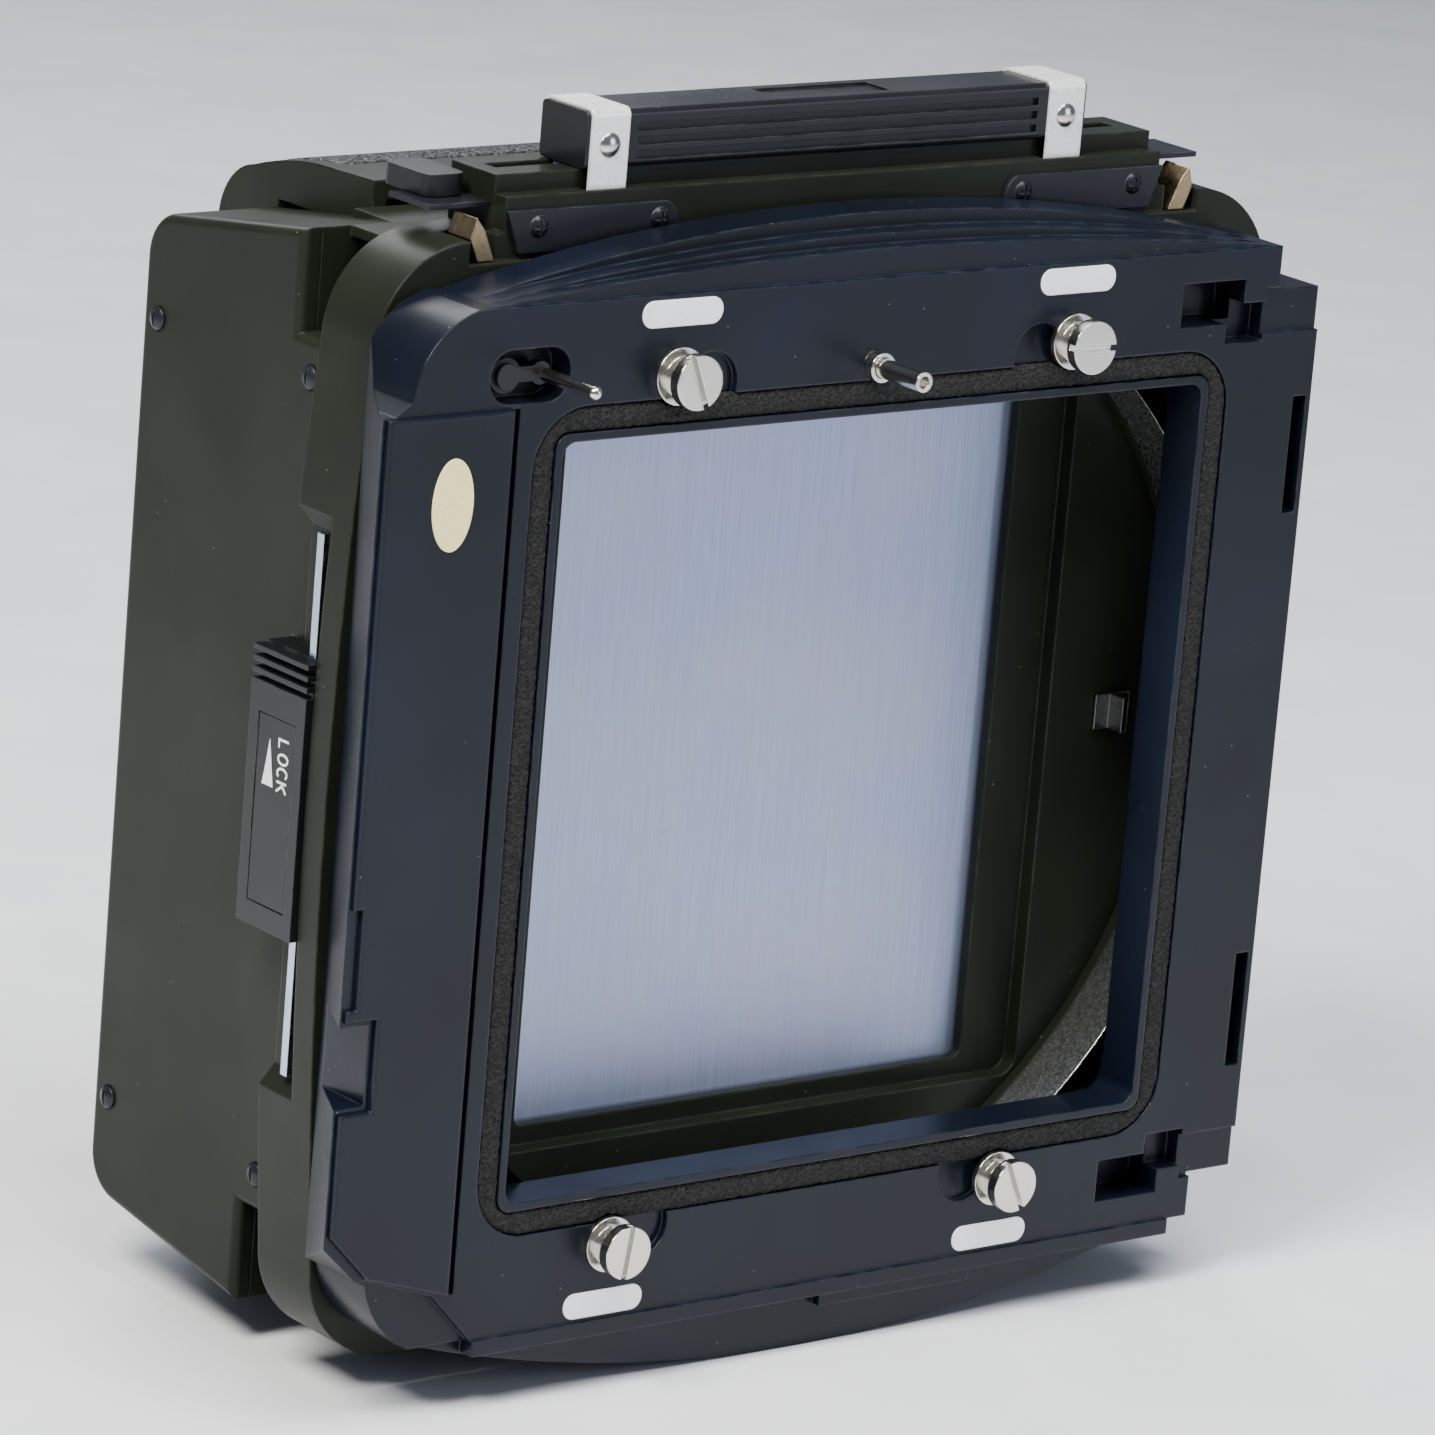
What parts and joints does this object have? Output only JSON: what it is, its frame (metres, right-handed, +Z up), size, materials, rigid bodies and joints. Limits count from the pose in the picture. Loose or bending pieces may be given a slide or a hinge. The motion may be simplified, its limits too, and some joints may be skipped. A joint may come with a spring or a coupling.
{
  "type": "roll film holder",
  "caption": "Roll film magazine locked on a revolving square adapter plate, with a pull-out dark slide, side locks and a hinged rear door.",
  "frame": {"origin": "on the revolving axis, which is the light axis, at the adapter plate's front face", "axes": "-Y points out of the front face toward the camera body, +Z up toward the dark slide handle, X across"},
  "size_m": [0.117, 0.0667, 0.1236],
  "materials": {
    "cast_black": "satin black enamel on die-cast alloy",
    "panel_black": "satin black enamel",
    "sticker_paper": "cream sticker, blank",
    "seal_foam": "black open-cell foam strip",
    "stud_steel": "turned bright steel",
    "contact_metal": "plain bright metal, light scratches",
    "spring_steel": "rolled spring steel",
    "ring_aluminium": "turned aluminium",
    "screw_steel": "plated steel screw",
    "screw_black": "black oxide steel screw",
    "slider_plastic": "fine-textured black plastic",
    "label_plastic": "black label plate",
    "cover_black": "crinkle-free satin black paint",
    "window_clear": "clear window",
    "bracket_black": "black-coated sheet steel",
    "lug_brass": "brass-toned worn metal",
    "slot_felt": "black plush felt",
    "slide_steel": "vertically brushed stainless steel",
    "handle_plastic": "ribbed black plastic",
    "leatherette": "pebbled black leatherette",
    "insert_black": "black painted sheet metal",
    "plate_black": "anodised black pressure plate",
    "roller_steel": "polished roller",
    "spool_plastic": "moulded black film spool",
    "gear_brass": "cut brass",
    "dial_plastic": "off-white dial",
    "lever_aluminium": "black anodised lever"
  },
  "bodies": {
    "adapter": {"front_plate": "cast_black", "side_panel": "panel_black", "maker_sticker": "sticker_paper", "foam_seal": "seal_foam", "mounting_studs": "stud_steel", "contact_ovals": "contact_metal", "pin_bush": "stud_steel", "lever_pivot": "stud_steel", "retaining_ring": "ring_aluminium", "retainer_screws": "screw_steel"},
    "signal": {"signal_pin": "stud_steel"},
    "selector": {"selector_lever": "spring_steel", "lever_pin": "stud_steel"},
    "holder": {"bearing_ring": "ring_aluminium", "revolving_frame": "cast_black", "lock_rail_left": "spring_steel", "lock_rail_right": "spring_steel", "magazine_housing": "cast_black", "side_cover_left": "cover_black", "side_cover_right": "cover_black", "side_cover_screws_left": "screw_black", "side_cover_screws_right": "screw_black", "counter_window": "window_clear", "slot_bracket_left": "bracket_black", "slot_bracket_right": "bracket_black", "bracket_screws": "screw_steel", "brass_lugs": "lug_brass", "ear_plates": "bracket_black", "slot_felts": "slot_felt", "door_hinge_pin": "stud_steel", "insert_frame": "insert_black", "spool_pivots": "stud_steel", "counter_post": "stud_steel", "index_clip": "spring_steel"},
    "lock_l": {"lock_slider_left": "slider_plastic", "lock_label_left": "label_plastic"},
    "lock_r": {"lock_slider_right": "slider_plastic", "lock_label_right": "label_plastic"},
    "slide": {"dark_slide": "slide_steel", "slide_handle": "handle_plastic", "handle_straps": "bracket_black", "handle_rivets": "screw_steel"},
    "door": {"rear_door": "cover_black", "door_covering": "leatherette", "memo_holder": "ring_aluminium"},
    "latch": {"door_latch": "slider_plastic"},
    "knob": {"film_selector_knob": "slider_plastic"},
    "pressure": {"pressure_plate": "plate_black", "pressure_springs": "spring_steel"},
    "roller_low": {"guide_roller_lower": "roller_steel"},
    "roller_up": {"guide_roller_upper": "roller_steel"},
    "supply": {"supply_spool": "spool_plastic"},
    "take_up": {"take_up_spool": "spool_plastic"},
    "winder": {"advance_lever": "lever_aluminium", "drive_shaft": "stud_steel", "shaft_gear": "gear_brass"},
    "counter": {"counter_gear": "gear_brass", "counter_dial": "dial_plastic"}
  },
  "joints": [
    {"name": "revolve", "type": "hinge", "parent": "adapter", "child": "holder", "pos_m": [0, 0.009, 0], "axis": [0, 1, 0], "range_deg": [0, 90]},
    {"name": "signal_push", "type": "slide", "parent": "adapter", "child": "signal", "axis": [0, 1, 0], "range_m": [0, 0.003], "stiffness_N_per_m": 60},
    {"name": "selector_turn", "type": "hinge", "parent": "adapter", "child": "selector", "pos_m": [-0.046, 0.001, 0.0439], "axis": [0, 1, 0], "range_deg": [-10, 10], "stiffness_Nm_per_rad": 0.002},
    {"name": "lock_left", "type": "slide", "parent": "holder", "child": "lock_l", "axis": [0, 0, 1], "range_m": [-0.008, 0]},
    {"name": "lock_right", "type": "slide", "parent": "holder", "child": "lock_r", "axis": [0, 0, 1], "range_m": [-0.008, 0]},
    {"name": "slide_out", "type": "slide", "parent": "holder", "child": "slide", "axis": [0, 0, 1], "range_m": [0, 0.09]},
    {"name": "door_swing", "type": "hinge", "parent": "holder", "child": "door", "pos_m": [0, 0.029, -0.0554], "axis": [-1, 0, 0], "range_deg": [0, 100]},
    {"name": "latch_move", "type": "slide", "parent": "holder", "child": "latch", "axis": [-1, 0, 0], "range_m": [0, 0.002]},
    {"name": "selector_knob", "type": "hinge", "parent": "holder", "child": "knob", "pos_m": [0.0455, 0.0283, 0.053], "axis": [0, 0, 1], "range_deg": [0, 90]},
    {"name": "pressure_float", "type": "slide", "parent": "holder", "child": "pressure", "axis": [0, 1, 0], "range_m": [0, 0.0006], "stiffness_N_per_m": 400},
    {"name": "roller_low_turn", "type": "hinge", "parent": "holder", "child": "roller_low", "pos_m": [0, 0.023, -0.04], "axis": [1, 0, 0], "continuous": true},
    {"name": "roller_up_turn", "type": "hinge", "parent": "holder", "child": "roller_up", "pos_m": [0, 0.023, 0.04], "axis": [1, 0, 0], "continuous": true},
    {"name": "supply_turn", "type": "hinge", "parent": "holder", "child": "supply", "pos_m": [0, 0.0385, -0.0375], "axis": [1, 0, 0], "continuous": true},
    {"name": "winding", "type": "hinge", "parent": "holder", "child": "winder", "pos_m": [0, 0.0385, 0.0375], "axis": [1, 0, 0], "range_deg": [0, 130]},
    {"name": "take_up_turn", "type": "hinge", "parent": "holder", "child": "take_up", "pos_m": [0, 0.0385, 0.0375], "axis": [1, 0, 0], "range_deg": [0, 130]},
    {"name": "counter_turn", "type": "hinge", "parent": "holder", "child": "counter", "pos_m": [0.044, 0.035, 0.01893], "axis": [1, 0, 0], "range_deg": [-80.5, 0]}
  ],
  "couplings": [
    {"joint": "take_up_turn", "follows": "winding", "ratio": 1},
    {"joint": "counter_turn", "follows": "winding", "ratio": -0.61538}
  ]
}
